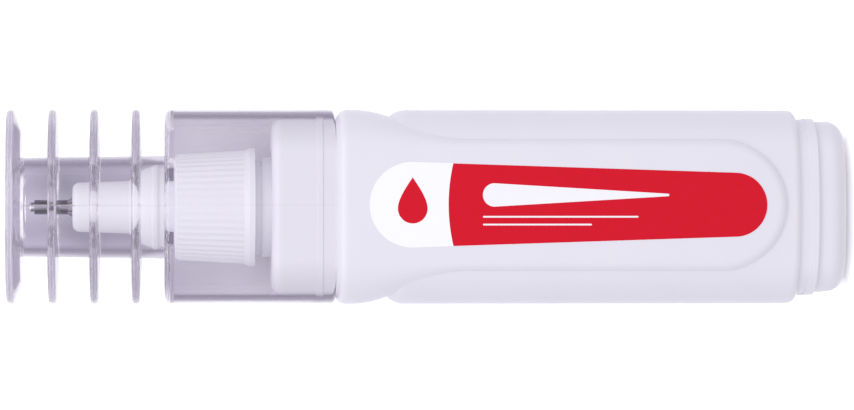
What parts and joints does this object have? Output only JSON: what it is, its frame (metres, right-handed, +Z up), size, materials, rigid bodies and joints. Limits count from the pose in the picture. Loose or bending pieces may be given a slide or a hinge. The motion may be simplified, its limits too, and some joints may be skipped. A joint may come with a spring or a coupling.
{
  "type": "correction pen",
  "caption": "Flat squeeze correction pen with a sprung valve tip in a ribbed nozzle, a round-ended label pad and a clear push-on cap with grip fins.",
  "frame": {"origin": "under the middle of the capped pen, on the surface that it lies on", "axes": "+X from the tip to the tail, +Y across the pen, +Z up out of the label face"},
  "size_m": [0.1084, 0.025, 0.0179],
  "materials": {
    "bottle_plastic": "blow-moulded polyethylene, satin white with a cool tint",
    "label_film": "printed film, red with a white round end",
    "nozzle_plastic": "injection-moulded polypropylene, soft gloss white",
    "gasket_foam": "soft sealing washer",
    "tip_steel": "turned stainless steel",
    "needle_steel": "ground stainless steel pin",
    "spring_steel": "drawn spring wire",
    "retainer_plastic": "moulded acetal",
    "ball_steel": "polished bearing ball",
    "clear_plastic": "clear moulded polystyrene with a faint violet tint"
  },
  "bodies": {
    "pen": {"bottle": "bottle_plastic", "front_label": "label_film", "nozzle": "nozzle_plastic", "neck_gasket": "gasket_foam", "steel_tip": "tip_steel", "valve_spring": "spring_steel", "spring_retainer": "retainer_plastic"},
    "cap": {"clear_cap": "clear_plastic"},
    "needle": {"valve_needle": "needle_steel"},
    "ball_1": {"mixing_ball_1": "ball_steel"},
    "ball_2": {"mixing_ball_2": "ball_steel"}
  },
  "joints": [
    {"name": "cap_pull", "type": "slide", "parent": "pen", "child": "cap", "axis": [-1, 0, 0], "range_m": [0, 0.044]},
    {"name": "needle_press", "type": "slide", "parent": "pen", "child": "needle", "axis": [1, 0, 0], "range_m": [0, 0.0005], "stiffness_N_per_m": 800, "springref_m": -0.0005, "deforming": ["valve_spring"]},
    {"name": "ball_1_roll", "type": "slide", "parent": "pen", "child": "ball_1", "axis": [1, 0, 0], "range_m": [-0.009, 0.0345]},
    {"name": "ball_2_roll", "type": "slide", "parent": "pen", "child": "ball_2", "axis": [1, 0, 0], "range_m": [-0.0265, 0.0168]}
  ]
}
